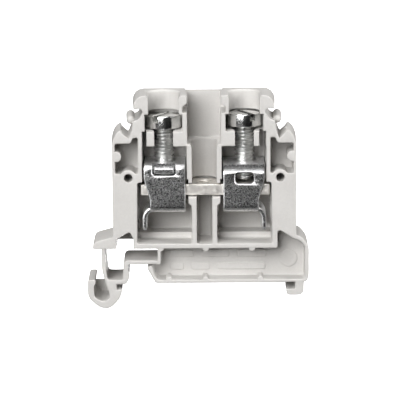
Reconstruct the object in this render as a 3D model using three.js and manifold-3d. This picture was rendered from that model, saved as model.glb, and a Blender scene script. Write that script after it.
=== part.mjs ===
// Feed-through screw terminal block for a 35 mm top-hat rail: an insulating housing open on one side,
// its springy rail latch, a conductor bar, two bent-strip clamp cages and two slotted clamp screws.
// Millimetres. X runs along the wire, Y across the block from its open side, Z up.
// The origin is on the rail's seat, in the middle of the block's width.

import * as THREE from "three";
import { mergeVertices } from "three/addons/utils/BufferGeometryUtils.js";
import Module from "manifold-3d";

const wasm = await Module();
wasm.setup();

// ---- Driving dimensions ----

const BLOCK_WIDTH = 10; // space taken along the rail
const FRONT = -BLOCK_WIDTH / 2; // the open side
const GAP = 0.25; // between touching pieces
const LEFT = -1;
const RIGHT = 1;

// Rail seat and foot
const RAIL_LATCH_FACE = -17.46; // the latch's face against the rail's edge
const RAIL_HOOK_FACE = 17.8; // the fixed hook's face against the other edge
const RAIL_SLOT = 1.33; // height of the slot that holds the rail's edge
const HOOK_TIP = 16.1; // the fixed hook reaches this far in under the rail's edge
const HOOK_BOTTOM = -2.54;
const SEAT_RELIEF = 0.1; // the seat is cut back this much over the hook
const FOOT_RIGHT = 20.5;
const BODY_BOTTOM = 6.95;

// Body
const BODY_HALF = 18; // outer walls
const TOWER_HALF = 13.75; // outer faces of the two towers
const TOWER_TOP = 37.4;
const CENTRE_TOP = 37.1;
const SCREW_X = 7.88; // the screws' distance from the middle
const AXIS_DEPTH = 4.7; // the screws' distance behind the open side
const AXIS_Y = FRONT + AXIS_DEPTH;

// Levels of the chambers inside, and their depths behind the open side
const BORE_BOTTOM = 33.65;
const SHELF_TOP = 30.25; // the shelf that keeps a screw's head
const SHELF_BOTTOM = 27.35;
const CHAMBER_BOTTOM = 20.2;
const FLOOR = 7.86;
const FLOOR_STEP = 9; // the raised back half of the floor
const BORE_RADIUS = 3.02;
const HEAD_CHAMBER_DEPTH = 8.7;
const CHAMBER_DEPTH = 9.4;
const FLOOR_DEPTH = 5.6;
const RECESS_DEPTH = 9;
const POCKET_DEPTH = 6.2;
const PANEL_DEPTH = 3.8;

// Conductor bar
const BAR_LEFT = -12.5;
const BAR_RIGHT = 12.88;
const BAR_BOTTOM = 17.4;
const BAR_TOP = 19.55;
const BAR_HALF_WIDTH = 3.4;
const BAR_HOLE_RADIUS = 1.25;

// Clamp cages, about the screw's axis
const CAGE_HALF_DEPTH = 4.4;
const CAGE_THICKNESS = 0.9;
const CAGE_TOP = 23.8;
const CAGE_TOP_LAYERS = 1.9;
const CAGE_BOTTOM = 14.05;
const CAGE_INNER_EDGE = 4.18; // towards the middle of the block
const CAGE_OUTER_EDGE = 3.97; // towards the wire entry
const CAGE_LIP_BOTTOM = 10.5;

// Clamp screws: M4 with a slotted cheese head
const THREAD_RADIUS = 1.95;
const HEAD_RADIUS = 3.5;
const HEAD_HEIGHT = 2.55;
const HEAD_BOTTOM = SHELF_TOP + GAP;
const TIP = BAR_TOP + GAP;
const SLOT_WIDTH = 1.2;
const SLOT_DEPTH = 1.4;
const SLOT_TURN = THREE.MathUtils.degToRad(62); // from the X axis
const RIGHT_SCREW_LIFT = 0.3; // the right screw stands a little higher

// ---- Shape helpers ----

// A closed geometry as a solid that can be joined and cut.
function solidOf(geometry) {
  const bare = geometry.clone();
  bare.deleteAttribute("normal");
  bare.deleteAttribute("uv");
  const merged = mergeVertices(bare, 1e-4);
  return new wasm.Manifold(
    new wasm.Mesh({
      numProp: 3,
      vertProperties: new Float32Array(merged.attributes.position.array),
      triVerts: new Uint32Array(merged.index.array),
    }),
  );
}

// A closed outline from corners [a, b] or [a, b, rounding], where the rounding is how far from the
// corner its curve starts.
function outline(corners) {
  const shape = new THREE.Shape();
  corners.forEach(([a, b, rounding = 0], i) => {
    const corner = new THREE.Vector2(a, b);
    const towards = (other) =>
      corner.clone().add(new THREE.Vector2(other[0], other[1]).sub(corner).setLength(rounding));
    const before = corners.at(i - 1);
    const after = corners[(i + 1) % corners.length];
    if (rounding + (after[2] ?? 0) > corner.distanceTo(new THREE.Vector2(after[0], after[1])))
      throw new Error(`the roundings of corners ${i} and ${i + 1} overlap`);
    const start = rounding ? towards(before) : corner;
    if (i === 0) shape.moveTo(start.x, start.y);
    else shape.lineTo(start.x, start.y);
    if (rounding) {
      const end = towards(after);
      shape.quadraticCurveTo(a, b, end.x, end.y);
    }
  });
  shape.closePath();
  return shape;
}

function extruded(shape, length, curveSegments) {
  return new THREE.ExtrudeGeometry(shape, { depth: length, bevelEnabled: false, curveSegments });
}

// Corners in X and Z, extruded along Y between two depths behind the open side.
function plate(corners, fromDepth, toDepth, curveSegments = 4) {
  const geometry = extruded(outline(corners), toDepth - fromDepth, curveSegments);
  geometry.rotateX(Math.PI / 2).translate(0, FRONT + toDepth, 0);
  return solidOf(geometry);
}

// Corners in X and Y, extruded up Z.
function column(shape, bottom, top, curveSegments = 8) {
  return solidOf(extruded(shape, top - bottom, curveSegments).translate(0, 0, bottom));
}

function box(x0, x1, y0, y1, z0, z1) {
  const geometry = new THREE.BoxGeometry(x1 - x0, y1 - y0, z1 - z0);
  geometry.translate((x0 + x1) / 2, (y0 + y1) / 2, (z0 + z1) / 2);
  return solidOf(geometry);
}

// A box whose Y range is given as depths behind the open side.
function slab(x0, x1, z0, z1, toDepth, fromDepth = -1) {
  return box(Math.min(x0, x1), Math.max(x0, x1), FRONT + fromDepth, FRONT + toDepth, z0, z1);
}

// A round bar along Y at (x, z).
function barAlongY(x, z, radius, fromDepth, toDepth, sides = 20) {
  const geometry = new THREE.CylinderGeometry(radius, radius, toDepth - fromDepth, sides);
  geometry.translate(x, FRONT + (fromDepth + toDepth) / 2, z);
  return solidOf(geometry);
}

const mirrored = (corners) => corners.map(([x, z, ...rest]) => [-x, z, ...rest]).reverse();

function onSide(side, corners) {
  return side === RIGHT ? corners : mirrored(corners);
}

function joined(solids) {
  return solids.reduce((sum, next) => sum.add(next));
}

// A U-shaped opening in plan: parallel walls from the open side, and a round end about the axis.
function uShape(centreX, radius, axisDepth) {
  const shape = new THREE.Shape();
  shape.moveTo(centreX - radius, FRONT - 1);
  shape.lineTo(centreX + radius, FRONT - 1);
  shape.lineTo(centreX + radius, FRONT + axisDepth);
  shape.absarc(centreX, FRONT + axisDepth, radius, 0, Math.PI, false);
  shape.closePath();
  return shape;
}

// ---- Housing ----

// The right half's contour above the foot, from the outer wall up to the tower: shoulder, V notch,
// label slot and tower. The left half is its mirror image.
const SHOULDER_TO_TOWER = [
  [BODY_HALF, 28.3, 1.2],
  [17.1, 30.1, 0.7],
  [16.2, 30.65, 0.3],
  [15.87, 29.9, 0.3],
  [14.68, 28.85, 0.25],
  [13.97, 30.6, 0.4],
  [13.9, 32.3, 0.3],
  [12.7, 32.75, 0.5],
  [11.8, 34.25, 0.4],
  [12.5, 34.85, 0.3],
  [TOWER_HALF, 34.75, 0.1],
  [TOWER_HALF - 0.1, TOWER_TOP, 2.1],
];

const CONTOUR = [
  // foot and fixed hook, from the rail seat's left end
  [-9.7, 0, 0.3],
  [HOOK_TIP - 0.1, 0],
  [HOOK_TIP - 0.1, SEAT_RELIEF],
  [RAIL_HOOK_FACE, SEAT_RELIEF],
  [RAIL_HOOK_FACE, -RAIL_SLOT, 0.2],
  [HOOK_TIP, -RAIL_SLOT, 0.3],
  [HOOK_TIP, HOOK_BOTTOM, 0.5],
  [19.5, HOOK_BOTTOM, 1],
  [19.5, 0.02, 0.2],
  [20.2, 0.3, 0.3],
  [FOOT_RIGHT, 1.4, 0.4],
  [FOOT_RIGHT, 7, 0.4],
  [20.05, 8, 0.5],
  [18.9, 9.3, 0.4],
  [BODY_HALF, 9.45],
  ...SHOULDER_TO_TOWER,
  [3.33, TOWER_TOP],
  [3.33, CENTRE_TOP],
  [-3.33, CENTRE_TOP],
  [-3.33, TOWER_TOP],
  ...mirrored(SHOULDER_TO_TOWER),
  // left ear, which carries the latch
  [-BODY_HALF, 9.35],
  [-21.5, 8.4, 0.4],
  [-22, 7.7, 0.2],
  [-22, BODY_BOTTOM],
  [-9.28, BODY_BOTTOM],
  [-9.28, 4.55],
  // ledge towards the latch
  [-14.85, 4.55],
  [-14.85, 3.8],
  [-12.4, 3.8, 0.4],
  [-11.5, 3.2, 0.5],
];

// Rounded beads that a label snaps behind, set back from the open side.
function labelBead(side) {
  return barAlongY(side * 14.2, 32.2, 0.85, 3.5, BLOCK_WIDTH, 16);
}

// Screwdriver bore, head chamber, and the slot for the shank between the shelf and its finger.
function screwShaft(side) {
  const x = side * SCREW_X;
  const fingerEdge = side === LEFT ? 11.2 : 10.75;
  return [
    column(uShape(x, BORE_RADIUS, AXIS_DEPTH + 0.3), BORE_BOTTOM - 0.1, TOWER_TOP + 1),
    slab(side * 4.2, side * 11.6, SHELF_TOP, BORE_BOTTOM, HEAD_CHAMBER_DEPTH),
    column(uShape(x, THREAD_RADIUS + GAP, AXIS_DEPTH), SHELF_BOTTOM - 0.1, SHELF_TOP + 0.1),
    slab(side * fingerEdge, side * 12.1, SHELF_BOTTOM - 0.1, SHELF_TOP + 0.05, POCKET_DEPTH),
    slab(side * 3.33, side * 12.18, CHAMBER_BOTTOM - 0.1, SHELF_BOTTOM, CHAMBER_DEPTH),
  ];
}

// The chamber that a wire is clamped in: deep above the step, shallow at the floor.
function wireChamber(side) {
  const inner = (z) => (z > 15.6 ? 3.1 : 2.45);
  const profile = onSide(side, [
    [inner(CHAMBER_BOTTOM), CHAMBER_BOTTOM],
    [inner(16), 16],
    [2.5, 15.5, 0.1],
    [inner(FLOOR_STEP), FLOOR_STEP],
    [13.3, FLOOR_STEP],
    [13.15, CHAMBER_BOTTOM, 0.3],
  ]);
  const shallow = onSide(side, [
    [2.45, FLOOR_STEP + 0.5],
    [2.45, FLOOR],
    [13.35, FLOOR],
    [13.3, FLOOR_STEP + 0.5],
  ]);
  return [plate(profile, -1, CHAMBER_DEPTH), plate(shallow, -1, FLOOR_DEPTH)];
}

// The wire's way in through the outer wall, a funnel that opens outwards.
function wireEntry(side) {
  const geometry = new THREE.LatheGeometry(
    [
      new THREE.Vector2(0, 12.9),
      new THREE.Vector2(3, 12.9),
      new THREE.Vector2(3, 15.4),
      new THREE.Vector2(3.7, 18.2),
      new THREE.Vector2(0, 18.2),
    ],
    24,
  );
  geometry.rotateZ((-side * Math.PI) / 2).translate(0, AXIS_Y, 14.5);
  return [solidOf(geometry)];
}

// The open space between the towers, the round channel down to the bar, and the space under it.
function centreCuts() {
  const channelRadius = 2.47;
  const channelDepth = 8.7;
  const channel = (grow, bottom, top) =>
    column(uShape(0, channelRadius + grow, channelDepth - channelRadius), bottom, top);
  return [
    slab(-3.33, 3.33, 27.7, TOWER_TOP + 1, RECESS_DEPTH),
    channel(0.25, 27.45, 27.8),
    channel(0, 19.9, 27.5),
    slab(-3.2, 3.2, BAR_BOTTOM - 0.2, 20, RECESS_DEPTH),
    slab(-1.55, 1.55, FLOOR, BAR_BOTTOM, 7.9),
  ];
}

// The keyhole-shaped relief in the thin wall between a tower and the centre.
function towerNotch(side) {
  const corners = onSide(side, [
    [3.2, 34],
    [4.25, 34, 0.1],
    [4.25, 35.1, 0.1],
    [3.2, 35.9],
  ]);
  return [plate(corners, -1, 7)];
}

// The side pocket, open to the front, with a half-round boss on its outer wall and a round corner
// over the peg hole's boss.
function pocket(side) {
  const corners = onSide(side, [
    [12.92, 21.95, 0.3],
    [17.47, 21.9, 0.2],
    [17.47, 27.96, 0.3],
    [14.35, 27.96, 0.2],
    [13.95, 29, 0.3],
    [12.92, 29.1, 0.4],
  ]);
  return plate(corners, -1, POCKET_DEPTH)
    .subtract(barAlongY(side * 17.1, 25.32, 1, -2, BLOCK_WIDTH, 20))
    .subtract(barAlongY(side * 14.87, 21.1, 1.6, -2, BLOCK_WIDTH, 24));
}

function pegHole(side) {
  return barAlongY(side * 14.87, 21.1, 0.85, -1, POCKET_DEPTH, 20);
}

// The shallow panel over the foot, and the deep recess behind the left ear.
function footCuts() {
  const panel = [
    [-9.2, 0.62, 0.3],
    [19.69, 0.62, 0.3],
    [19.69, 7.3, 0.3],
    [18.7, 8.45, 0.3],
    [17.5, 8.8, 0.3],
    [14.95, 10.5, 0.25],
    [14.31, 10.3, 0.1],
    [14.31, 6.98],
    [-8.69, 6.98],
    [-8.69, 3.75],
    [-10.6, 3.75],
    [-9.9, 1.3, 0.3],
  ];
  const earRecess = [
    [-17.44, BODY_BOTTOM - 1],
    [-17.44, 8.8, 0.2],
    [-14.75, 10.35, 0.3],
    [-14.03, 9.1, 0.3],
    [-14.03, BODY_BOTTOM - 1],
  ];
  return [plate(panel, -1, PANEL_DEPTH), plate(earRecess, -1, 9.2)];
}

// Small half-round bumps that stand on the panel's upper and lower edges.
function panelBumps() {
  const upper = [-8.69, 0.2, 9.3].map((x) => barAlongY(x, 6.98, 0.6, 0, PANEL_DEPTH + 0.2, 12));
  const lower = [-7.1, 0.1, 10.9].map((x) => barAlongY(x, 0.62, 0.55, 0, PANEL_DEPTH + 0.2, 12));
  return [...upper, ...lower];
}

function makeHousing() {
  const cuts = [LEFT, RIGHT].flatMap((side) => [
    ...screwShaft(side),
    ...wireChamber(side),
    ...wireEntry(side),
    ...towerNotch(side),
    pocket(side),
    pegHole(side),
  ]);
  return plate(CONTOUR, 0, BLOCK_WIDTH)
    .add(labelBead(LEFT))
    .add(labelBead(RIGHT))
    .subtract(joined([...cuts, ...centreCuts(), ...footCuts()]))
    .add(joined(panelBumps()));
}

// ---- Rail latch ----

// The springy arm, the hook with its screwdriver pocket, and the strip that rises to the ledge.
const LATCH_CONTOUR = [
  [-20.33, BODY_BOTTOM - GAP],
  [-20.33, 2.8, 0.5],
  [-19.55, -0.2, 0.3],
  [-18.86, -2, 0.3],
  [-18.86, -3, 0.3],
  [-19.65, -3.65, 0.3],
  [-20.45, -3.65, 0.3],
  [-21.85, -2.9, 0.3],
  [-22, -0.75, 0.3],
  [-21.65, -0.15, 0.2],
  [-21.6, 0.66, 0.2],
  [-23.13, 0.66, 0.3],
  [-23.13, -2.9, 0.8],
  [-20.6, -5.05, 0.6],
  [-18.7, -5.05, 0.4],
  [-16.75, -3, 0.6],
  [-16.32, -RAIL_SLOT, 0.1],
  [RAIL_LATCH_FACE, -RAIL_SLOT],
  [RAIL_LATCH_FACE, -0.22],
  [-15.6, -0.22, 0.3],
  [-14.95, 0.7, 0.4],
  [-15.15, 4.55, 0.2],
  [-16, 4.55, 0.4],
  [-16.13, 0.62, 0.3],
  [-19.25, 0.62, 0.3],
  [-19.55, 2.8, 0.5],
  [-19.55, BODY_BOTTOM - GAP],
];

const POCKET_WEB = [
  [-22.5, -4],
  [-18.4, -4],
  [-18.4, -1.35],
  [-22.5, -1.35],
];

function makeLatch() {
  const side = 0.15; // it stays this far inside the block's faces
  return plate(LATCH_CONTOUR, side, BLOCK_WIDTH - side).add(plate(POCKET_WEB, 9, BLOCK_WIDTH - side));
}

// ---- Conductor bar ----

function makeBar() {
  const hole = new THREE.CylinderGeometry(BAR_HOLE_RADIUS, BAR_HOLE_RADIUS, 6, 24);
  hole.rotateX(Math.PI / 2).translate(0, AXIS_Y, BAR_TOP);
  const halfWidth = BAR_HALF_WIDTH;
  return box(BAR_LEFT, BAR_RIGHT, AXIS_Y - halfWidth, AXIS_Y + halfWidth, BAR_BOTTOM, BAR_TOP).subtract(
    solidOf(hole),
  );
}

// ---- Clamp cage, about a screw's axis, as it stands on the left: wire entry towards -X ----

function cageLoop() {
  const ring = (inset, bottom, top, rounding) => {
    const half = CAGE_HALF_DEPTH - inset;
    const shape = outline([
      [-half, bottom, rounding],
      [half, bottom, rounding],
      [half, top, rounding],
      [-half, top, rounding],
    ]);
    // Y to the right and Z up in the outline become Y and Z, with the extrusion along X
    const basis = new THREE.Matrix4().makeBasis(
      new THREE.Vector3(0, 1, 0),
      new THREE.Vector3(0, 0, 1),
      new THREE.Vector3(1, 0, 0),
    );
    const geometry = extruded(shape, 12, 4).translate(0, 0, -6).applyMatrix4(basis);
    return solidOf(geometry);
  };
  return ring(0, CAGE_BOTTOM, CAGE_TOP, 1.1).subtract(
    ring(CAGE_THICKNESS, CAGE_BOTTOM + CAGE_THICKNESS, CAGE_TOP - CAGE_TOP_LAYERS, 0.3),
  );
}

// The strip is full width at the top and narrower at the bottom, cut back on the wire's side.
function cageSides() {
  const corners = [
    [-CAGE_OUTER_EDGE, CAGE_TOP + 1],
    [-CAGE_OUTER_EDGE, 21, 1],
    [-2.8, 16.5, 1],
    [-2.8, CAGE_BOTTOM - 1],
    [CAGE_INNER_EDGE, CAGE_BOTTOM - 1],
    [CAGE_INNER_EDGE, CAGE_TOP + 1],
  ];
  return plate(corners, -1, BLOCK_WIDTH + 1);
}

// The bottom plate's outer edge is bent down, so that a wire can't go in under the cage.
function cageLip() {
  const top = CAGE_BOTTOM + CAGE_THICKNESS;
  const corners = [
    [-2.5, top],
    [-2.5, CAGE_BOTTOM],
    [-2.9, CAGE_BOTTOM, 0.2],
    [-3.4, 12.9, 0.3],
    [-3.4, CAGE_LIP_BOTTOM, 0.2],
    [-4.28, CAGE_LIP_BOTTOM, 0.2],
    [-4.28, 13.4, 0.5],
    [-3.2, top, 0.4],
  ];
  return plate(corners, 1, 8.5);
}

function makeCage() {
  const tongueHalf = 1.88;
  const screwHole = new THREE.CylinderGeometry(THREAD_RADIUS + 0.2, THREAD_RADIUS + 0.2, 4, 24);
  screwHole.rotateX(Math.PI / 2).translate(0, 0, CAGE_TOP - 1);
  const front = -CAGE_HALF_DEPTH;
  const slot = box(-2.4, 2.4, front - 1, front + 1, 21.5, CAGE_TOP + 1);
  const tongue = box(-tongueHalf, tongueHalf, front + 0.05, front + 1.5, 21.9, 22.8);
  const window = box(-1.9, 1.9, CAGE_HALF_DEPTH - 1.1, CAGE_HALF_DEPTH + 1, 19.7, 22.3);
  return cageLoop()
    .subtract(slot)
    .subtract(window)
    .add(tongue)
    .intersect(cageSides())
    .add(cageLip())
    .subtract(solidOf(screwHole));
}

// ---- Clamp screw, about its own axis ----

function makeScrew() {
  const top = HEAD_BOTTOM + HEAD_HEIGHT;
  const profile = [
    [0, TIP],
    [THREAD_RADIUS - 0.5, TIP],
    [THREAD_RADIUS, TIP + 0.5],
    [THREAD_RADIUS, HEAD_BOTTOM],
    [HEAD_RADIUS - 0.15, HEAD_BOTTOM],
    [HEAD_RADIUS, HEAD_BOTTOM + 0.15],
    [HEAD_RADIUS, top - 0.35],
    [HEAD_RADIUS - 0.35, top],
    [0, top],
  ].map(([radius, z]) => new THREE.Vector2(radius, z));
  const body = new THREE.LatheGeometry(profile, 32).rotateX(Math.PI / 2);
  const half = SLOT_WIDTH / 2;
  return solidOf(body).subtract(box(-5, 5, -half, half, top - SLOT_DEPTH, top + 1));
}

// ---- Assembly ----

const PLASTIC = { color: 0xd6d4d1, roughness: 0.55, metalness: 0 };
const ZINC = { color: 0x9b9a96, roughness: 0.38, metalness: 1 };
const BRIGHT_STEEL = { color: 0xaeada8, roughness: 0.3, metalness: 1 };
const TIN = { color: 0xc9c6c0, roughness: 0.35, metalness: 1 };

function meshOf(name, solid, look) {
  const { numProp, numVert, vertProperties, triVerts } = solid.getMesh();
  const positions = new Float32Array(numVert * 3);
  for (let i = 0; i < numVert; i++)
    positions.set(vertProperties.subarray(i * numProp, i * numProp + 3), i * 3);
  const geometry = new THREE.BufferGeometry();
  geometry.setAttribute("position", new THREE.BufferAttribute(positions, 3));
  geometry.setIndex(new THREE.BufferAttribute(new Uint32Array(triVerts), 1));
  geometry.computeVertexNormals();
  const mesh = new THREE.Mesh(geometry, new THREE.MeshStandardMaterial(look));
  mesh.name = name;
  return mesh;
}

const group = new THREE.Group();
group.add(meshOf("housing", makeHousing(), PLASTIC));
group.add(meshOf("rail_latch", makeLatch(), PLASTIC));
group.add(meshOf("conductor_bar", makeBar(), TIN));

const cage = makeCage();
const screw = makeScrew();
for (const side of [LEFT, RIGHT]) {
  const name = side === LEFT ? "left" : "right";

  const cageMesh = meshOf(`clamp_cage_${name}`, cage, ZINC);
  cageMesh.position.set(side * SCREW_X, AXIS_Y, 0);
  cageMesh.rotation.z = side === LEFT ? 0 : Math.PI;
  group.add(cageMesh);

  const screwMesh = meshOf(`clamp_screw_${name}`, screw, BRIGHT_STEEL);
  screwMesh.position.set(side * SCREW_X, AXIS_Y, side === RIGHT ? RIGHT_SCREW_LIFT : 0);
  screwMesh.rotation.z = -side * SLOT_TURN;
  group.add(screwMesh);
}

export default group;
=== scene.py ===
"""Looks of a feed-through screw terminal block, built around its CAD frame.

The shape code works in millimetres, and shade() turns each finished mesh to metres. X runs along
the wires, Y into the block from its open side, Z up from the rail seat.
"""

import math

import bmesh
import bpy
from mathutils import Matrix, Vector


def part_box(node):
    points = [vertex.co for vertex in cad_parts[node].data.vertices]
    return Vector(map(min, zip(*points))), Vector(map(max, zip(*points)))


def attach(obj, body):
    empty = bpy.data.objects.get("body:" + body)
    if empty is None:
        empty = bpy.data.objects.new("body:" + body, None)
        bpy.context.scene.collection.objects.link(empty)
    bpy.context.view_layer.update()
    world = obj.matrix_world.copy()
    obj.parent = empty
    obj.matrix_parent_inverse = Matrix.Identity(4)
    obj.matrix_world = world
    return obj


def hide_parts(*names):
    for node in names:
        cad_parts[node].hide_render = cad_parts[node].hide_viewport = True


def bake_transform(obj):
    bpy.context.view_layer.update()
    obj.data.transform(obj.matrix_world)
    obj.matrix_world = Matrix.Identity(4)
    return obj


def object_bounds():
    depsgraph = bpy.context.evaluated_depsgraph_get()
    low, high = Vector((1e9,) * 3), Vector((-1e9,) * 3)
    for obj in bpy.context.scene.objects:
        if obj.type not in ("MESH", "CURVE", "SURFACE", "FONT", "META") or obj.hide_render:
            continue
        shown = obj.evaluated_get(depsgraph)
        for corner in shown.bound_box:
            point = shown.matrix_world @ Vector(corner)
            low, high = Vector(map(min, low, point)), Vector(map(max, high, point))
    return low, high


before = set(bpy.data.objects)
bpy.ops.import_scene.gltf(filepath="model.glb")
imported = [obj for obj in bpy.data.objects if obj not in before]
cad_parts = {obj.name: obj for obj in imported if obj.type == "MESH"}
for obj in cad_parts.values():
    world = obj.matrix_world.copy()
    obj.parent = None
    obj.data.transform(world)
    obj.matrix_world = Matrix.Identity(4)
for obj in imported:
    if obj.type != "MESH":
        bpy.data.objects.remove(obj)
cad_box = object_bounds()

MM = 0.001
LEFT, RIGHT = -1, 1
SIDES = {LEFT: "left", RIGHT: "right"}


def node_box(node):
    """(lowest, highest) corner of a CAD node, in millimetres."""
    low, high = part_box(node)
    return Vector(low) / MM, Vector(high) / MM


# ---- Driving dimensions: places from the frame, then what the frame's boxes don't say ----

HOUSING = node_box("housing")
BAR = node_box("conductor_bar")
SCREW = {side: node_box(f"clamp_screw_{name}") for side, name in SIDES.items()}
CAGE = {side: node_box(f"clamp_cage_{name}") for side, name in SIDES.items()}

FRONT = HOUSING[0].y  # the open side
WIDTH = HOUSING[1].y - HOUSING[0].y
TOWER_TOP = HOUSING[1].z
SCREW_X = (SCREW[RIGHT][0].x + SCREW[RIGHT][1].x) / 2
AXIS_Y = (SCREW[RIGHT][0].y + SCREW[RIGHT][1].y) / 2
AXIS_DEPTH = AXIS_Y - FRONT
BAR_BOTTOM, BAR_TOP = BAR[0].z, BAR[1].z

BODY_HALF = 18
TOWER_HALF = 13.75
CENTRE_HALF = 3.33  # of the gap between the towers
CENTRE_TOP = 37.1
BORE_BOTTOM = 33.65
SHELF_TOP = 30.25
SHELF_BOTTOM = 27.35
CHAMBER_BOTTOM = 20.2
FLOOR = 7.86
FLOOR_STEP = 9.0
BODY_BOTTOM = 6.95
LEDGE_TOP, LEDGE_BOTTOM = 4.55, 3.8
RAIL_SLOT = 1.33
BORE_RADIUS = 3.02
HEAD_CHAMBER_DEPTH = 8.7
CHAMBER_DEPTH = 9.4
FLOOR_DEPTH = 5.6
RECESS_DEPTH = 9.0
POCKET_DEPTH = 6.2
PANEL_DEPTH = 3.8
PANEL_TOP, PANEL_BOTTOM = 6.98, 0.62
FINGER_EDGE = {LEFT: 11.2, RIGHT: 10.75}  # the post beside each screw's slot
PEG_X, PEG_Z = 14.87, 21.1
WIRE_Z = 14.5
BEND_FROM, BEND_TO = -9.3, -15.4  # the stretch of the ledge that bends with the latch

THREAD_RADIUS = 1.95  # M4
PITCH = 0.7
HEAD_HEIGHT = 2.55
HEAD_ROUND = 0.3
SLOT_WIDTH = 1.2
SLOT_DEPTH = 1.4
SLOT_TURN = math.radians(62)  # from the X axis

CAGE_THICKNESS = 0.9
CAGE_HALF_DEPTH = (CAGE[LEFT][1].y - CAGE[LEFT][0].y) / 2
CAGE_TOP = CAGE[LEFT][1].z
CAGE_BOTTOM = 14.05
CAGE_INNER_EDGE = 4.18  # towards the middle of the block
CAGE_OUTER_EDGE = 3.97  # towards the wire entry
CAGE_FOOT_EDGE = 2.8  # the same edge lower down
SHEET_ROUND = 0.24  # rounding of the strip's edges

RIM = 0.15  # rounding of the edges on the open side
FILLET = 0.22  # rounding where a recess meets its floor
DRAFT = 0.012  # how much a recess narrows for each millimetre of depth
SPREAD = 0.35  # how much further out the body's sides are at its back than at its open side
SPREAD_FROM = 9.6  # the height at which that starts

# ---- Outlines: each is a function that gives its points after growing by a distance ----


def arc_corner(corner, before, after, reach, growth, steps):
    """The points of one corner between two directions, moved outwards by the growth."""
    normal = Vector((before.y, -before.x))
    next_normal = Vector((after.y, -after.x))
    mitre = (normal + next_normal) / (1 + normal.dot(next_normal))
    moved = corner + mitre * growth
    turn = math.atan2(before.cross(after), before.dot(after))
    slope = math.tan(turn / 2)
    if not reach or abs(slope) < 1e-3:
        return [moved]
    radius = max(0.03, reach + growth * slope) / slope
    centre = moved - mitre * radius
    spin = [Matrix.Rotation(turn * k / steps, 2) for k in range(steps + 1)]
    return [centre + turned @ normal * radius for turned in spin]


def polygon(corners, steps=4):
    """Corners (a, b) or (a, b, reach), where reach is how far from the corner its arc starts."""
    rows = [(Vector(corner[:2]), corner[2] if len(corner) > 2 else 0) for corner in corners]
    area = sum(p.cross(q) for (p, _), (q, _) in zip(rows, rows[1:] + rows[:1], strict=True))
    if area < 0:
        rows.reverse()

    def grown(growth):
        points = []
        for i, (corner, reach) in enumerate(rows):
            before = (corner - rows[i - 1][0]).normalized()
            after = (rows[(i + 1) % len(rows)][0] - corner).normalized()
            points += arc_corner(corner, before, after, reach, growth, steps)
        return points

    return grown


def disc(a, b, radius, steps=32):
    turns = [2 * math.pi * k / steps for k in range(steps)]
    return lambda growth: [
        Vector((a + (radius + growth) * math.cos(t), b + (radius + growth) * math.sin(t)))
        for t in turns
    ]


def channel(centre_x, radius, axis_depth, mouth=None, steps=24):
    """A U in plan: parallel walls from the open side, and a round end about the axis.

    A mouth is a narrower half width, which the first 2 mm of depth have.
    """

    def grown(growth):
        r = radius + growth
        m = r if mouth is None else mouth + growth
        plan = [(-m, -1.5), (m, -1.5), (m, 2), (r, 2.5)]
        for k in range(steps + 1):
            t = math.pi * k / steps
            plan.append((r * math.cos(t), axis_depth + r * math.sin(t)))
        plan += [(-r, 2.5), (-m, 2)]
        return [Vector((centre_x + x, FRONT + depth)) for x, depth in plan]

    return grown


def mirrored(corners):
    return [(-corner[0], *corner[1:]) for corner in reversed(corners)]


def on_side(side, corners):
    return corners if side == RIGHT else mirrored(corners)


def rectangle(a0, a1, b0, b1, reach=0.12):
    low, high = sorted((a0, a1))
    return [(low, b0, reach), (high, b0, reach), (high, b1, reach), (low, b1, reach)]


# ---- Meshes ----


def mesh_object(name, bm):
    """Makes a closed solid's mesh in millimetres, with its faces turned outwards."""
    bm.normal_update()
    bmesh.ops.triangulate(bm, faces=bm.faces, ngon_method="EAR_CLIP")
    bmesh.ops.recalc_face_normals(bm, faces=bm.faces)
    if bm.calc_volume(signed=True) < 0:
        bmesh.ops.reverse_faces(bm, faces=bm.faces)
    mesh = bpy.data.meshes.new(name)
    bm.to_mesh(mesh)
    bm.free()
    obj = bpy.data.objects.new(name, mesh)
    bpy.context.scene.collection.objects.link(obj)
    return obj


def loft(name, rings):
    """A closed solid through rings of 3-D points, capped at both ends."""
    bm = bmesh.new()
    made = [[bm.verts.new(p) for p in ring] for ring in rings]
    for low, high in zip(made, made[1:], strict=False):
        for i in range(len(low)):
            j = (i + 1) % len(low)
            bm.faces.new((low[i], low[j], high[j], high[i]))
    bm.faces.new(made[0])
    bm.faces.new(made[-1])
    return mesh_object(name, bm)


QUARTER = [math.pi / 2 * k / 3 for k in range(4)]


def rounded_ends(front, back, front_round, back_round):
    """(depth, growth) rows of a slab whose two edges are rounded."""
    rows = []
    for a in reversed(QUARTER):
        rows.append((front + front_round * (1 - math.cos(a)), -front_round * (1 - math.sin(a))))
    for a in QUARTER:
        rows.append((back - back_round * (1 - math.sin(a)), -back_round * (1 - math.cos(a))))
    return sorted(rows)


def hollow_rows(depth, rim=RIM, fillet=FILLET, draft=DRAFT):
    """(depth, growth) rows of a recess: rounded rim, drafted walls and filleted floor."""
    rows = [(-1, rim), (0, rim)]
    for a in QUARTER[1:]:
        reach = rim * (1 - math.cos(a))
        rows.append((reach, rim * (1 - math.sin(a)) - draft * reach))
    for a in QUARTER:
        reach = depth - fillet * (1 - math.sin(a))
        rows.append((reach, -fillet * (1 - math.cos(a)) - draft * reach))
    return rows


def along_depth(name, shape, rows, place=None):
    """A slab whose outline in X and Z changes with its depth behind the open side."""
    rings = []
    for depth, growth in rows:
        ring = [place(point, depth) if place else point for point in shape(growth)]
        rings.append([(p.x, FRONT + depth, p.y) for p in ring])
    return loft(name, rings)


def recess(corners, depth, **options):
    return along_depth("cutter", polygon(corners), hollow_rows(depth, **options))


def peg(x, z, radius, front, back, rounding=0.12):
    return along_depth("peg", disc(x, z, radius), rounded_ends(front, back, rounding, 0.02))


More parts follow.
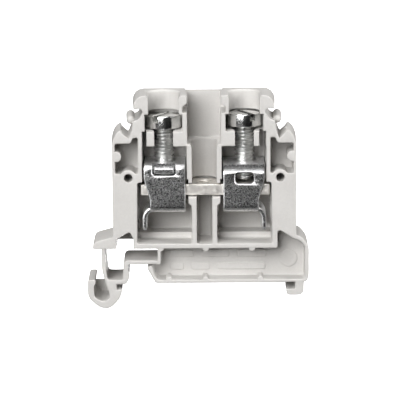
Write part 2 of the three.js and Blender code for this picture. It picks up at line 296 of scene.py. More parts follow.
def shaft(shape, levels):
    """A cutter in plan through (height, growth) levels."""
    return loft("cutter", [[(p.x, p.y, z) for p in shape(growth)] for z, growth in levels])


def lathe(name, profile, steps=64, matrix=None):
    """A solid of revolution about Z from (radius, height) rows that start and end on the axis."""
    bm = bmesh.new()
    turns = [2 * math.pi * k / steps for k in range(steps)]
    first = bm.verts.new((0, 0, profile[0][1]))
    last = bm.verts.new((0, 0, profile[-1][1]))
    rings = [
        [bm.verts.new((r * math.cos(t), r * math.sin(t), z)) for t in turns]
        for r, z in profile[1:-1]
    ]
    for i in range(steps):
        j = (i + 1) % steps
        bm.faces.new((first, rings[0][j], rings[0][i]))
        bm.faces.new((last, rings[-1][i], rings[-1][j]))
        for low, high in zip(rings, rings[1:], strict=False):
            bm.faces.new((low[i], low[j], high[j], high[i]))
    bm.transform(matrix or Matrix.Identity(4))
    return mesh_object(name, bm)


def combine(base, others, operation):
    """Joins the others to the base, cuts them from it or keeps what they share; removes them."""
    for other in others:
        modifier = base.modifiers.new("combine", "BOOLEAN")
        modifier.operation = operation
        modifier.solver = "MANIFOLD"
        modifier.object = other
        evaluated = base.evaluated_get(bpy.context.evaluated_depsgraph_get())
        mesh = bpy.data.meshes.new_from_object(evaluated)
        base.modifiers.clear()
        old = base.data
        base.data = mesh
        bpy.data.meshes.remove(old)
        bpy.data.objects.remove(other)
    return base


def cut(base, *others):
    return combine(base, others, "DIFFERENCE")


def join(base, *others):
    return combine(base, others, "UNION")


def trim(base, *others):
    return combine(base, others, "INTERSECT")


def slice_across(obj, normal, places):
    """Adds edges where planes at these places along the normal cross the mesh."""
    mesh = bmesh.new()
    mesh.from_mesh(obj.data)
    for place in places:
        everything = mesh.verts[:] + mesh.edges[:] + mesh.faces[:]
        point = Vector(normal) * place
        bmesh.ops.bisect_plane(mesh, geom=everything, dist=1e-4, plane_co=point, plane_no=normal)
    mesh.to_mesh(obj.data)
    mesh.free()


def shade(obj, sharp_above=35):
    """Turns a finished mesh to metres, smooth across shallow angles and flat on flat faces."""
    bm = bmesh.new()
    bm.from_mesh(obj.data)
    many_sided = [face for face in bm.faces if len(face.verts) > 3]
    bmesh.ops.triangulate(bm, faces=many_sided, ngon_method="EAR_CLIP")
    bm.to_mesh(obj.data)
    bm.free()
    obj.data.transform(Matrix.Scale(MM, 4))
    obj.data.shade_smooth()
    obj.data.set_sharp_from_angle(angle=math.radians(sharp_above))
    weighted = obj.modifiers.new("weighted", "WEIGHTED_NORMAL")
    weighted.keep_sharp = True
    weighted.weight = 80
    return obj


# ---- Housing ----

# The right half's contour from the outer wall to the tower: shoulder, V notch, label slot, tower.
SHOULDER_TO_TOWER = [
    (BODY_HALF, 28.3, 1.2),
    (17.1, 30.1, 0.7),
    (16.2, 30.65, 0.3),
    (15.87, 29.9, 0.3),
    (14.68, 28.85, 0.25),
    (13.97, 30.6, 0.4),
    (13.9, 32.3, 0.3),
    (12.7, 32.75, 0.5),
    (11.8, 34.25, 0.4),
    (12.5, 34.85, 0.3),
    (TOWER_HALF, 34.75, 0.25),
    (TOWER_HALF - 0.1, TOWER_TOP, 2.1),
]

CONTOUR = [
    # foot and fixed hook, from the left end of the rail seat
    (-9.7, 0, 0.3),
    (16, 0),
    (16, 0.1),
    (17.8, 0.1, 0.1),
    (17.8, -RAIL_SLOT, 0.2),
    (16.1, -RAIL_SLOT, 0.3),
    (16.1, -2.54, 0.5),
    (19.5, -2.54, 1),
    (19.5, 0.02, 0.2),
    (20.2, 0.3, 0.3),
    (20.5, 1.4, 0.4),
    (20.5, 7, 0.4),
    (20.05, 8, 0.5),
    (18.9, 9.3, 0.4),
    (BODY_HALF, 9.45, 0.3),
    *SHOULDER_TO_TOWER,
    (CENTRE_HALF, TOWER_TOP),
    (CENTRE_HALF, CENTRE_TOP),
    (-CENTRE_HALF, CENTRE_TOP),
    (-CENTRE_HALF, TOWER_TOP),
    *mirrored(SHOULDER_TO_TOWER),
    # left ear, which carries the latch
    (-BODY_HALF, 9.35, 0.3),
    (-21.5, 8.4, 0.4),
    (-22, 7.7, 0.2),
    (-22, BODY_BOTTOM, 0.15),
    (-9.28, BODY_BOTTOM, 0.2),
    (-9.28, LEDGE_BOTTOM, 0.4),
    (-11.5, 3.2, 0.5),
]


def spread(point, depth):
    """The body above the foot is a little wider towards its back, as it came from its mould."""
    share = min(1, max(0, (point.y - SPREAD_FROM) / 2)) * depth / WIDTH
    return Vector((point.x + math.copysign(SPREAD, point.x) * share, point.y))


def screw_shaft(side):
    """Screwdriver bore, head chamber, and the slot for the shank beside a finger."""
    x = side * SCREW_X
    finger = side * FINGER_EDGE[side]
    top = TOWER_TOP
    bore = [(BORE_BOTTOM - 0.3, 0), (top - 0.5, 0), (top - 0.12, 0.2), (top, 0.4), (top + 1, 0.4)]
    slot = [
        (SHELF_BOTTOM - 0.6, 0),
        (SHELF_TOP - 0.15, 0),
        (SHELF_TOP, 0.15),
        (SHELF_TOP + 0.6, 0.15),
    ]
    return [
        shaft(channel(x, BORE_RADIUS, AXIS_DEPTH + 0.3), bore),
        recess(rectangle(side * 4.2, side * 11.6, SHELF_TOP, BORE_BOTTOM), HEAD_CHAMBER_DEPTH),
        shaft(channel(x, 2.2, AXIS_DEPTH, 1.85), slot),
        recess(rectangle(finger, side * 12.1, SHELF_BOTTOM - 1, SHELF_TOP + 0.06), POCKET_DEPTH),
        recess(
            rectangle(side * 3.4, side * 12.18, CHAMBER_BOTTOM - 1, SHELF_BOTTOM, 0.25),
            CHAMBER_DEPTH,
        ),
    ]


def wire_chamber(side):
    upper = [
        (3.1, CHAMBER_BOTTOM + 0.6),
        (3.1, 16, 0.2),
        (2.5, 15.5, 0.2),
        (2.45, FLOOR_STEP, 0.2),
        (13.3, FLOOR_STEP, 0.3),
        (13.15, 20.2, 0.5),
        (12.1, 20.25, 0.2),
        (12.1, CHAMBER_BOTTOM + 0.6),
    ]
    lower = [
        (2.45, FLOOR_STEP + 1.2),
        (2.45, FLOOR, 0.3),
        (13.35, FLOOR, 0.4),
        (13.3, FLOOR_STEP + 1.2),
    ]
    return [
        recess(on_side(side, upper), CHAMBER_DEPTH),
        recess(on_side(side, lower), FLOOR_DEPTH, fillet=0.5),
    ]


def wire_entry(side):
    """The funnel for a wire in the outer wall, as (radius, distance from the middle) rows."""
    place = Matrix.Translation((0, AXIS_Y, WIRE_Z)) @ Matrix.Rotation(side * math.pi / 2, 4, "Y")
    mouth = [(3, 12.9), (3, 15.4), (3.3, 16.8), (3.75, 17.75), (4.05, 18.2), (4.05, 19)]
    return lathe("cutter", [(0, 12.9), *mouth, (0, 19)], 48, place)


def tower_notch(side):
    corners = [(2.9, 33.9), (4.25, 34, 0.15), (4.25, 35.1, 0.2), (2.9, 36.2)]
    return recess(on_side(side, corners), 7, rim=0.1)


def pocket(side):
    """The side pocket, with a half-round boss on its outer wall and one round the peg hole."""
    corners = [
        (12.92, 21.95, 0.3),
        (17.47, 21.9, 0.3),
        (17.47, 27.96, 0.4),
        (14.35, 27.96, 0.35),
        (13.95, 29, 0.3),
        (12.92, 29.15, 0.4),
    ]
    return cut(
        recess(on_side(side, corners), POCKET_DEPTH),
        peg(side * 17.25, 25.32, 1.05, 0, WIDTH, RIM),
        peg(side * PEG_X, PEG_Z, 1.6, 0, WIDTH, RIM),
    )


def peg_hole(side):
    rows = hollow_rows(POCKET_DEPTH, 0.1, 0.1)
    return along_depth("cutter", disc(side * PEG_X, PEG_Z, 0.85), rows)


def centre_cuts():
    """The space between the towers, the round channel down to the bar, and the space under it."""
    radius, depth = 2.47, 8.7
    levels = [(19.6, -0.06), (27.15, 0), (27.5, 0.12), (27.72, 0.45), (28.1, 0.45)]
    gap = rectangle(-CENTRE_HALF, CENTRE_HALF, 27.7, TOWER_TOP + 2, 0.25)
    return [
        recess(gap, RECESS_DEPTH, draft=0.004),
        shaft(channel(0, radius, depth - radius), levels),
        recess(rectangle(-3.22, 3.22, BAR_BOTTOM - 0.25, 20, 0.1), RECESS_DEPTH),
        recess(rectangle(-1.55, 1.55, FLOOR, BAR_BOTTOM + 0.4, 0.25), 7.9, fillet=0.5),
    ]


PANEL = [
    (-9.2, PANEL_BOTTOM, 0.4),
    (19.69, PANEL_BOTTOM, 0.5),
    (19.69, 7.3, 0.3),
    (18.7, 8.45, 0.3),
    (17.5, 8.8, 0.3),
    (14.95, 10.5, 0.25),
    (14.31, 10.3, 0.2),
    (14.31, PANEL_TOP, 0.3),
    (-8.69, PANEL_TOP, 0.3),
    (-8.69, 3.75, 0.3),
    (-10.6, 3.75, 0.2),
    (-9.9, 1.3, 0.3),
]

EAR_RECESS = [
    (-17.44, BODY_BOTTOM - 1),
    (-17.44, 8.8, 0.25),
    (-14.75, 10.35, 0.35),
    (-14.03, 9.1, 0.3),
    (-14.03, BODY_BOTTOM - 1),
]


def panel_bumps():
    """Small half-round bumps that stand on the panel's upper and lower edges."""
    span = 0.02, PANEL_DEPTH + 0.3
    upper = [peg(x, PANEL_TOP, 0.62, *span) for x in (-8.69, 0.2, 9.3)]
    lower = [peg(x, PANEL_BOTTOM + 0.02, 0.58, *span) for x in (-7.1, 0.1, 10.9)]
    return upper + lower


def blank_marks():
    """Two rows of low plain bars and a plain disc, where a maker's moulded markings would be."""
    rows = rounded_ends(PANEL_DEPTH - 0.16, PANEL_DEPTH + 0.3, 0.1, 0.02)
    bars = [
        *[(a, a + length, 4.45, 5.85) for a, length in ((-6.9, 4.7), (-0.6, 5.4), (6.4, 5.8))],
        *[(a, a + length, 1.9, 3.3) for a, length in ((-6.9, 2.7), (-2.6, 3.6), (2.6, 9.4))],
    ]
    marks = [along_depth("mark", polygon(rectangle(*bar, 0.4)), rows) for bar in bars]
    return [*marks, along_depth("mark", disc(16.6, 4.1, 1.75), rows)]


def label_bead(side):
    """The bead that a label snaps behind, set back from the open side, with a domed front end."""
    rows = rounded_ends(2.4, WIDTH, 0.8, 0.05)
    return along_depth("bead", disc(side * 14.2, 32.2, 0.85), rows, spread)


def make_housing():
    rows = rounded_ends(0, WIDTH, RIM, 0.25)
    body = along_depth("housing_body", polygon(CONTOUR), rows, spread)
    join(body, label_bead(LEFT), label_bead(RIGHT))
    cut(body, *centre_cuts(), recess(PANEL, PANEL_DEPTH), recess(EAR_RECESS, 9.2))
    for side in SIDES:
        cut(body, *screw_shaft(side), *wire_chamber(side), wire_entry(side), tower_notch(side))
        cut(body, pocket(side), peg_hole(side))
    join(body, *panel_bumps(), *blank_marks())
    return shade(body)


# ---- Rail latch ----

LATCH_CONTOUR = [
    (-20.33, BODY_BOTTOM + 0.3),
    (-20.33, 2.8, 1),
    (-19.55, -0.2, 0.6),
    (-18.86, -2, 0.4),
    (-18.86, -3, 0.4),
    (-19.65, -3.65, 0.4),
    (-20.45, -3.65, 0.4),
    (-21.85, -2.9, 0.5),
    (-22, -0.75, 0.3),
    (-21.65, -0.15, 0.2),
    (-21.6, 0.66, 0.3),
    (-23.13, 0.66, 0.5),
    (-23.13, -2.9, 1),
    (-20.6, -5.05, 1),
    (-18.7, -5.05, 0.6),
    (-16.75, -3, 0.9),
    (-16.32, -RAIL_SLOT, 0.2),
    (-17.46, -RAIL_SLOT, 0.15),
    (-17.46, -0.22, 0.2),
    (-15.6, -0.22, 0.4),
    (-14.95, 0.7, 0.5),
    # the strip that rises and turns into the ledge on the foot
    (-15.1, LEDGE_BOTTOM, 0.5),
    (-9.1, LEDGE_BOTTOM),
    (-9.1, LEDGE_TOP),
    (-16.05, LEDGE_TOP, 0.9),
    (-16.13, 0.62, 0.5),
    (-19.25, 0.62, 0.6),
    (-19.55, 2.8, 0.9),
    (-19.55, BODY_BOTTOM + 0.3),
]

POCKET_WEB = [(-22.5, -4), (-18.4, -4), (-18.4, -1.35), (-22.5, -1.35)]


def make_latch():
    """Arm, hook, strip and ledge in one piece, with a web that closes the hook's pocket behind."""
    inset = 0.15  # it stays this far inside the block's faces
    spring = along_depth(
        "latch_spring", polygon(LATCH_CONTOUR), rounded_ends(inset, WIDTH - inset, RIM, 0.2)
    )
    web = along_depth("web", polygon(POCKET_WEB), rounded_ends(9, WIDTH - inset - 0.02, 0.1, 0.02))
    join(spring, web)
    # edges across the ledge, and across the strip and the arm, so that the spring can bend
    slice_across(spring, (1, 0, 0), [BEND_FROM - 0.4 * k for k in range(15)])
    slice_across(spring, (0, 0, 1), [3 + 0.4 * k for k in range(10)])
    return shade(spring)


# ---- Conductor bar ----


def make_bar():
    """The bar has sheared edges and a threaded hole in the middle."""
    half = (BAR[1].y - BAR[0].y) / 2
    middle = (BAR[1].y + BAR[0].y) / 2
    plan = polygon(
        [
            (BAR[0].x, middle - half, 0.3),
            (BAR[1].x, middle - half, 0.3),
            (BAR[1].x, middle + half, 0.3),
            (BAR[0].x, middle + half, 0.3),
        ]
    )
    levels = [
        (BAR_BOTTOM, -0.1),
        (BAR_BOTTOM + 0.1, 0),
        (BAR_TOP - 0.12, 0),
        (BAR_TOP - 0.03, -0.05),
        (BAR_TOP, -0.14),
    ]
    bar = shaft(plan, levels)
    bar.name = "bar"
    hole = thread("cutter", BAR_BOTTOM - 1, BAR_TOP + 1, 1.5, 1.25, 0.5)
    hole.data.transform(Matrix.Translation((0, AXIS_Y, 0)))
    sink = lathe(
        "cutter",
        [(0, BAR_TOP - 0.25), (1.2, BAR_TOP - 0.25), (1.55, BAR_TOP + 0.1), (0, BAR_TOP + 0.1)],
        48,
        Matrix.Translation((0, AXIS_Y, 0)),
    )
    return shade(cut(bar, hole, sink))


# ---- Clamp screws ----


def thread(name, bottom, top, major, minor, pitch, steps=40):
    """A right-hand thread about Z, flat at its crest and root, longer than the range by a pitch."""
    profile = [(0, minor), (0.14, minor), (0.5, major), (0.62, major)]  # (share of pitch, radius)
    turns = math.ceil((top - bottom) / pitch) + 2
    rows = [(n + share, radius) for n in range(turns) for share, radius in profile]
    bm = bmesh.new()
    grid = []
    for share, radius in rows:
        ring = []
        for i in range(steps):
            t = 2 * math.pi * i / steps
            z = bottom + (share - 1.5 + i / steps) * pitch
            ring.append(bm.verts.new((radius * math.cos(t), radius * math.sin(t), z)))
        grid.append(ring)
    lead = len(profile)
    for r in range(len(rows) - 1):
        for i in range(steps):
            a, b = grid[r][i], grid[r + 1][i]
            if i + 1 < steps:
                bm.faces.new((a, grid[r][i + 1], grid[r + 1][i + 1], b))
            elif r + lead + 1 < len(rows):
                bm.faces.new((a, grid[r + lead][0], grid[r + lead + 1][0], b))
    # the two ends close on a point of the axis
    start = bm.verts.new((0, 0, bottom - 1.5 * pitch))
    end = bm.verts.new((0, 0, bottom + (turns - 0.5) * pitch))
    first = grid[0] + [grid[r][0] for r in range(lead, -1, -1)]
    last = grid[-1] + [grid[r][-1] for r in range(len(rows) - 1, len(rows) - lead - 2, -1)]
    last.append(grid[-1][0])
    for ring, tip in ((first, start), (last, end)):
        for p, q in zip(ring, ring[1:], strict=False):
            if p is not q:
                bm.faces.new((p, q, tip))
    return mesh_object(name, bm)


def make_screw(side):
    """A slotted cheese head on a threaded shank, turned as it stands in the frame."""
    low, high = SCREW[side]
    bottom, top = low.z, high.z
    head_radius = (high.x - low.x) / 2
    head_bottom = top - HEAD_HEIGHT
    shank = thread("screw", bottom, head_bottom, THREAD_RADIUS, THREAD_RADIUS - 0.4, PITCH)
    reach = THREAD_RADIUS + 0.05
    envelope = [
        (0, bottom),
        (THREAD_RADIUS - 0.5, bottom),
        (reach, bottom + 0.5),
        (reach, head_bottom + 0.3),
        (0, head_bottom + 0.3),
    ]
    trim(shank, lathe("envelope", envelope, 48))
    head = [(0, head_bottom), (head_radius - 0.12, head_bottom), (head_radius, head_bottom + 0.12)]
    for a in QUARTER:
        head.append(
            (head_radius - HEAD_ROUND * (1 - math.cos(a)), top - HEAD_ROUND * (1 - math.sin(a)))
        )
    head += [(head_radius - 1.2, top), (0, top)]
    collar = [
        (0, head_bottom - 0.25),
        (THREAD_RADIUS - 0.3, head_bottom - 0.25),
        (THREAD_RADIUS + 0.15, head_bottom + 0.1),
        (0, head_bottom + 0.1),
    ]
    join(shank, lathe("head", head, 96), lathe("collar", collar, 48))
    half = SLOT_WIDTH / 2
    slot = polygon(
        [
            (-half, top - SLOT_DEPTH, 0.12),
            (half, top - SLOT_DEPTH, 0.12),
            (half, top - 0.1),
            (half + 0.12, top + 0.02),
            (half + 0.12, top + 1),
            (-half - 0.12, top + 1),
            (-half - 0.12, top + 0.02),
            (-half, top - 0.1),
        ]
    )
    groove = loft("cutter", [[(y, p.x, p.y) for p in slot(0)] for y in (-5, 5)])
    cut(shank, groove)
    turn = Matrix.Rotation(-side * SLOT_TURN, 4, "Z")
    shank.data.transform(Matrix.Translation((side * SCREW_X, AXIS_Y, 0)) @ turn)
    return shade(shank, 40)


# ---- Clamp cages, about a screw's axis, as the left one stands: wire entry towards -X ----


def path(corners, spacing=0.5, steps=6):
    """Points along an open line of corners (a, b, reach), close enough together to taper it."""
    points = [Vector(corners[0][:2])]
    for i in range(1, len(corners) - 1):
        corner = Vector(corners[i][:2])
        before = (corner - Vector(corners[i - 1][:2])).normalized()
        after = (Vector(corners[i + 1][:2]) - corner).normalized()
        points += arc_corner(corner, before, after, corners[i][2], 0, steps)
    points.append(Vector(corners[-1][:2]))
    dense = [points[0]]
    for p, q in zip(points, points[1:], strict=False):
        count = max(1, round((q - p).length / spacing))
        dense += [p.lerp(q, (k + 1) / count) for k in range(count)]
    return dense


def strip(name, line, width, thickness, turned=False):
    """Sheet metal bent along a line; width(point) gives its two edges, which are rounded."""
    half = thickness / 2
    rings = []
    for i, p in enumerate(line):
        ahead = line[min(i + 1, len(line) - 1)] - line[max(i - 1, 0)]
        normal = Vector((-ahead.y, ahead.x)).normalized()
        low, high = width(p)
        inset = 0.15 if i in (0, len(line) - 1) else 0
        section = polygon(rectangle(low, high, -half, half, SHEET_ROUND), 2)(-inset)
        ring = []
        for w, across in section:
            a, b = p + normal * across
            ring.append((a, w, b) if turned else (w, a, b))
        rings.append(ring)
    return loft(name, rings)


def cage_width(point):
    """The strip is full width at the top and cut back on the wire's side further down."""
    fall = min(1, max(0, (21 - point.y) / 4.5))
    fall = fall * fall * (3 - 2 * fall) * 0.5 + fall * 0.5
    return -CAGE_OUTER_EDGE + (CAGE_OUTER_EDGE - CAGE_FOOT_EDGE) * fall, CAGE_INNER_EDGE


def window(x, bottom, top, outside, reach=0.6):
    """A cutter through a cage's outer plate, front or back, whose outer edge is rounded."""
    inwards = -math.copysign(1, outside)
    shape = polygon(rectangle(-x, x, bottom, top, reach))
    rows = [(-1, 0.22), (0, 0.22), (0.06, 0.1), (0.22, 0), (1, 0)]
    return loft(
        "cutter",
        [[(p.x, outside + inwards * depth, p.y) for p in shape(growth)] for depth, growth in rows],
    )


def make_cage(side):
    """One strip, bent round until its ends lap over the top.

    A tongue on one end goes through a slot at the other end's bend.
    """
    t = CAGE_THICKNESS
    out = CAGE_HALF_DEPTH - t / 2
    upper = CAGE_TOP - t / 2
    lower = upper - t - 0.06
    floor = CAGE_BOTTOM + t / 2
    line = path(
        [
            (-out + t / 2 + 0.2, lower),
            (out, lower, 0.75),
            (out, floor, 0.85),
            (-out, floor, 0.85),
            (-out, upper, 0.85),
            (CAGE_HALF_DEPTH - 0.04, upper),
        ]
    )
    cage = strip("cage", line, cage_width, t)
    cut(
        cage,
        window(2.3, 21.5, CAGE_TOP + 1, -CAGE_HALF_DEPTH),
        window(1.8, 19.8, 22.1, CAGE_HALF_DEPTH),
    )
    tongue = along_depth(
        "tongue",
        polygon(rectangle(-1.88, 1.88, lower - t / 2, lower + t / 2, 0.12)),
        rounded_ends(-CAGE_HALF_DEPTH + 0.05 - FRONT, -CAGE_HALF_DEPTH + 1.8 - FRONT, 0.12, 0.05),
    )
    lip_line = path([(-2.2, floor), (-3.1, floor - 0.05, 0.4), (-3.84, 13.3, 0.6), (-3.84, 10.5)])
    lip = strip("lip", lip_line, lambda point: (-3.7, 3.8), t, turned=True)
    join(cage, tongue, lip)
    bore = THREAD_RADIUS + 0.08
    sink = CAGE_TOP + 0.1
    hole = [(0, 20), (bore, 20), (bore, CAGE_TOP - 0.25), (bore + 0.32, sink), (0, sink)]
    cut(cage, lathe("cutter", hole, 48))
    turn = Matrix.Rotation(0 if side == LEFT else math.pi, 4, "Z")
    cage.data.transform(Matrix.Translation((side * SCREW_X, AXIS_Y, 0)) @ turn)
    return shade(cage, 40)


# ---- Materials ----


class Nodes:
    """A short way to write a material's node tree around its Principled shader."""

    def __init__(self, name, **values):
        self.material = bpy.data.materials.new(name)
        self.material.use_nodes = True
        self.tree = self.material.node_tree
        self.shader = self.tree.nodes["Principled BSDF"]
        for socket, value in values.items():
            self.shader.inputs[socket.replace("_", " ")].default_value = value
        self.places = self.tree.nodes.new("ShaderNodeTexCoord").outputs["Object"]

    def link(self, source, target):
        self.tree.links.new(source, target)

    def stretched(self, x, y, z):
        """Object coordinates multiplied along each axis, in repeats per millimetre."""
        mapping = self.tree.nodes.new("ShaderNodeMapping")
        mapping.inputs["Scale"].default_value = (x / MM, y / MM, z / MM)
        self.link(self.places, mapping.inputs["Vector"])
        return mapping.outputs["Vector"]

    def noise(self, per_mm, detail=2, roughness=0.5, vector=None):
        node = self.tree.nodes.new("ShaderNodeTexNoise")
        node.inputs["Scale"].default_value = 1
        node.inputs["Detail"].default_value = detail
        node.inputs["Roughness"].default_value = roughness
        self.link(vector or self.stretched(per_mm, per_mm, per_mm), node.inputs["Vector"])
        return node.outputs["Fac"]

    def cells(self, per_mm):
        """Random grey cells, as on spangled zinc."""
        node = self.tree.nodes.new("ShaderNodeTexVoronoi")
        node.inputs["Scale"].default_value = 1
        self.link(self.stretched(per_mm, per_mm, per_mm), node.inputs["Vector"])
        return node.outputs["Color"]

    def ramp(self, source, low, high, start=0.3, end=0.7):
        """Maps a texture to between two colours or values."""
        node = self.tree.nodes.new("ShaderNodeValToRGB")
        node.color_ramp.elements[0].position = start
        node.color_ramp.elements[1].position = end
        for element, value in zip(node.color_ramp.elements, (low, high), strict=True):
            element.color = (*value, 1) if isinstance(value, tuple) else (value, value, value, 1)
        self.link(source, node.inputs["Fac"])
        return node.outputs["Color"]

    def mix(self, first, second, share, blend="MIX"):
        node = self.tree.nodes.new("ShaderNodeMix")
        node.data_type = "RGBA"
        node.blend_type = blend
        node.inputs["Factor"].default_value = share
        self.link(first, node.inputs["A"])
        self.link(second, node.inputs["B"])
        return node.outputs["Result"]

    def bump(self, source, strength, distance, normal=None):
        node = self.tree.nodes.new("ShaderNodeBump")
        node.inputs["Strength"].default_value = strength
        node.inputs["Distance"].default_value = distance * MM
        self.link(source, node.inputs["Height"])
        if normal:
            self.link(normal, node.inputs["Normal"])
        return node.outputs["Normal"]

    def set(self, socket, source):
        self.link(source, self.shader.inputs[socket])


def plastic():
    """Light warm grey polyamide with a fine matt texture and faint flow marks."""
    nodes = Nodes("polyamide", IOR=1.52)
    cloud = nodes.noise(0.22, 3)
    grain = nodes.noise(2.5, 2)
    tone = nodes.ramp(cloud, (0.525, 0.511, 0.492), (0.555, 0.542, 0.522))
    fine = nodes.ramp(grain, 0.95, 1.0)
    nodes.set("Base Color", nodes.mix(tone, fine, 1, "MULTIPLY"))
    nodes.set("Roughness", nodes.ramp(grain, 0.5, 0.62))
    soft = nodes.bump(nodes.noise(0.45, 1), 0.25, 0.05)
    nodes.set("Normal", nodes.bump(nodes.noise(9, 2), 0.25, 0.012, soft))
    return nodes.material


def zinc():
    """Zinc-plated strip: a speckle of small grains, some bright and some dark."""
    nodes = Nodes("zinc_strip", Metallic=1)
    grains = nodes.ramp(nodes.cells(4.2), 0.16, 1, 0.25, 0.85)
    speck = nodes.ramp(nodes.noise(4, 4, 0.75), 0.16, 1, 0.44, 0.58)
    cloud = nodes.ramp(nodes.noise(0.3, 2), 0.7, 1.0)
    mottled = nodes.mix(grains, speck, 0.7)
    nodes.set("Base Color", nodes.mix(mottled, cloud, 1, "MULTIPLY"))
    nodes.set("Roughness", nodes.ramp(nodes.noise(3, 2), 0.24, 0.4))
    nodes.set("Normal", nodes.bump(nodes.noise(4, 3), 0.35, 0.03))
    return nodes.material


def painted_highlight_zinc():
    """The same strip with a much brighter base colour: a painted highlight on its bends, sheared
    edges, top and bottom, where light catches them; a little rougher than the plates.
    """
    nodes = Nodes("zinc_painted_highlight", Metallic=1)
    # painted highlight: a base colour far brighter than the plates' mottled zinc
    nodes.set("Base Color", nodes.ramp(nodes.noise(2.6, 3), 0.75, 1, 0.35, 0.6))
    nodes.set("Roughness", nodes.ramp(nodes.noise(3, 2), 0.36, 0.5))
    nodes.set("Normal", nodes.bump(nodes.noise(4, 2), 0.2, 0.02))
    return nodes.material


def thread_steel():
    """Plated steel of the thread, duller than the head."""
    nodes = Nodes("thread_steel", Metallic=1)
    nodes.set("Base Color", nodes.ramp(nodes.noise(1.4, 3), (0.74, 0.75, 0.74), (0.92, 0.92, 0.91)))
    nodes.set("Roughness", nodes.ramp(nodes.noise(2.5, 2), 0.3, 0.42))
    return nodes.material


def bright_steel():
    """Bright-plated screw steel with faint turning marks round the axis."""
    nodes = Nodes("bright_screw", Metallic=1)
    marks = nodes.noise(1, 2, vector=nodes.stretched(0.6, 0.6, 14))
    nodes.set("Base Color", nodes.ramp(nodes.noise(1.4, 3), (0.72, 0.73, 0.72), (0.92, 0.92, 0.91)))
    nodes.set("Roughness", nodes.ramp(nodes.noise(2.5, 2), 0.12, 0.22))
    nodes.set("Normal", nodes.bump(marks, 0.12, 0.006))
    return nodes.material


def tin():
    """Dull tin plating, crinkled where the strip was sheared."""
    nodes = Nodes("tinned_bar", Metallic=1)
    nodes.set("Base Color", nodes.ramp(nodes.noise(0.8, 3), (0.76, 0.73, 0.69), (0.95, 0.92, 0.87)))
    nodes.set("Roughness", nodes.ramp(nodes.noise(2, 2), 0.34, 0.52))
    nodes.set("Normal", nodes.bump(nodes.noise(1.1, 3, 0.65), 0.55, 0.12))
    return nodes.material


# ---- Assembly ----


def finished(obj, name, body, node, material, other=None, has_other=None):
    """Names a piece, rides it, and gives it one material, or another where the test says so."""
    obj.name = name
    obj.data.materials.clear()
    obj.data.materials.append(material)
    if other:
        obj.data.materials.append(other)
        for face in obj.data.polygons:
            face.material_index = int(has_other(face))
    if body:
        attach(obj, body)
    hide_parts(node)


POLYAMIDE, TIN = plastic(), tin()
ZINC, PAINTED_HIGHLIGHT_ZINC = zinc(), painted_highlight_zinc()
STEEL, THREAD = bright_steel(), thread_steel()
THREAD_TOP = SCREW[LEFT][1].z - HEAD_HEIGHT - 0.4  # just under the collar


def gets_painted_highlight(face):
    """Everything on a cage but its flat front and back plates: the faces that get the painted
    highlight colour.
    """
    return abs(face.normal.y) < 0.985


def is_thread(face):
    return face.center.z < THREAD_TOP * MM


finished(make_housing(), "housing_shell", "housing", "housing", POLYAMIDE)
finished(make_bar(), "bar", "housing", "conductor_bar", TIN)
for side, name in SIDES.items():
    cage, screw = f"cage_{name}", f"screw_{name}"  # names of the piece and of its body
    # each cage's bends, edges, top and bottom get the painted highlight colour
    finished(make_cage(side), cage, cage, f"clamp_{cage}", ZINC, PAINTED_HIGHLIGHT_ZINC, gets_painted_highlight)
    finished(
        make_screw(side), screw, screw, f"clamp_{screw}", STEEL, THREAD, is_thread
    )

latch = make_latch()
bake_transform(latch)
finished(latch, "latch_spring", None, "rail_latch", POLYAMIDE)

# ---- Camera ----

ELEVATION = math.radians(11.55)
DISTANCE = 450
ROLL = math.radians(0.4)
AIM = Vector((-0.86, FRONT, 16.7))
VIEW_WIDTH = 78.318  # what the picture spans in the plane of the open side

camera_data = bpy.data.cameras.new("camera")
camera_data.sensor_width = 36
camera_data.lens = DISTANCE / VIEW_WIDTH * camera_data.sensor_width
camera_data.clip_start = 0.01
camera = bpy.data.objects.new("camera", camera_data)
bpy.context.scene.collection.objects.link(camera)
camera.location = (AIM + Vector((0, -math.cos(ELEVATION), math.sin(ELEVATION))) * DISTANCE) * MM
tilt = Matrix.Rotation(math.pi / 2 - ELEVATION, 3, "X")
camera.rotation_euler = (tilt @ Matrix.Rotation(-ROLL, 3, "Z")).to_euler()
bpy.context.scene.camera = camera

# ---- Stage and light ----


def backdrop():
    """A pale floor that curves up into a wall far behind."""
    profile = [(-900, 0), (700, 0)]
    for k in range(1, 13):
        a = math.pi / 2 * k / 12
        profile.append((700 + 500 * math.sin(a), 500 * (1 - math.cos(a))))
    profile.append((1200, 1500))
    bm = bmesh.new()
    floor = cad_box[0][2] / MM
    rows = [
        [bm.verts.new(Vector((x, y, z + floor)) * MM) for x in (-1500, 1500)] for y, z in profile
    ]
    for low, high in zip(rows, rows[1:], strict=False):
        bm.faces.new((low[0], low[1], high[1], high[0]))
    mesh = bpy.data.meshes.new("backdrop")
    bm.to_mesh(mesh)
    bm.free()
    mesh.shade_smooth()
    obj = bpy.data.objects.new("backdrop", mesh)
    bpy.context.scene.collection.objects.link(obj)
    nodes = Nodes("paper", Roughness=0.9)
    nodes.shader.inputs["Base Color"].default_value = (0.9, 0.9, 0.9, 1)
    nodes.shader.inputs["Emission Color"].default_value = (1, 1, 1, 1)
    nodes.shader.inputs["Emission Strength"].default_value = 1
    mesh.materials.append(nodes.material)
    # the tent and the softboxes light the block; the floor is only there for the camera to see
    obj.visible_glossy = obj.visible_diffuse = obj.visible_shadow = False


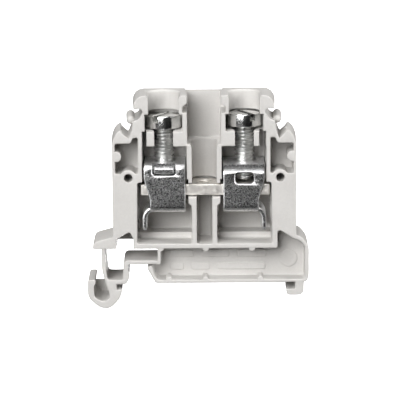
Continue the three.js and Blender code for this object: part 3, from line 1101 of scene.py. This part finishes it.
def softbox(name, place, aim, size, watts):
    """A rectangular light that shines on the block and that the camera doesn't see."""
    data = bpy.data.lights.new(name, "AREA")
    data.shape = "RECTANGLE"
    data.size, data.size_y = size[0] * MM, size[1] * MM
    data.energy = watts
    obj = bpy.data.objects.new(name, data)
    bpy.context.scene.collection.objects.link(obj)
    obj.location = Vector(place) * MM
    obj.rotation_euler = (Vector(place) - Vector(aim)).to_track_quat("Z", "Y").to_euler()
    obj.visible_camera = False


def sky():
    """A faint tent around the block, darker in front, so that metal and recesses aren't black."""
    world = bpy.data.worlds.new("studio")
    bpy.context.scene.world = world
    world.use_nodes = True
    tree = world.node_tree
    places = tree.nodes.new("ShaderNodeTexCoord")
    split = tree.nodes.new("ShaderNodeSeparateXYZ")
    tree.links.new(places.outputs["Generated"], split.inputs["Vector"])

    def graded(axis, start, end, low, high):
        """Smoothly from one value to another along an axis of the viewing direction."""
        grade = tree.nodes.new("ShaderNodeMapRange")
        grade.interpolation_type = "SMOOTHSTEP"
        grade.inputs["From Min"].default_value = start
        grade.inputs["From Max"].default_value = end
        grade.inputs["To Min"].default_value = low
        grade.inputs["To Max"].default_value = high
        tree.links.new(split.outputs[axis], grade.inputs["Value"])
        return grade.outputs["Result"]

    def maths(operation, a, b):
        node = tree.nodes.new("ShaderNodeMath")
        node.operation = operation
        for value, socket in ((a, node.inputs[0]), (b, node.inputs[1])):
            if isinstance(value, (int, float)):
                socket.default_value = value
            else:
                tree.links.new(value, socket)
        return node.outputs["Value"]

    below = graded("Z", -0.55, -0.35, 1.0, 0)
    above = graded("Z", -0.05, 0.15, 0, 0.75)
    left = graded("X", -0.2, -0.05, 1.15, 0.15)
    right = graded("X", 0.72, 0.82, 0, 1.2)
    behind = graded("Y", 0, 0.5, 0, 0.75)
    strength = maths("MAXIMUM", maths("MAXIMUM", below, above), maths("MAXIMUM", left, right))
    strength = maths("MAXIMUM", strength, behind)
    tree.links.new(strength, tree.nodes["Background"].inputs["Strength"])


bpy.context.scene.view_settings.view_transform = "Standard"
backdrop()
sky()
middle = (0, 0, 16)
softbox("key", (-300, -620, 350), middle, (560, 560), 8.4)
softbox("fill", (640, -160, 220), middle, (300, 420), 4.5)
softbox("top", (-40, -60, 560), middle, (420, 200), 1.4)
softbox("rear", (0, 640, -200), middle, (160, 360), 4.5)
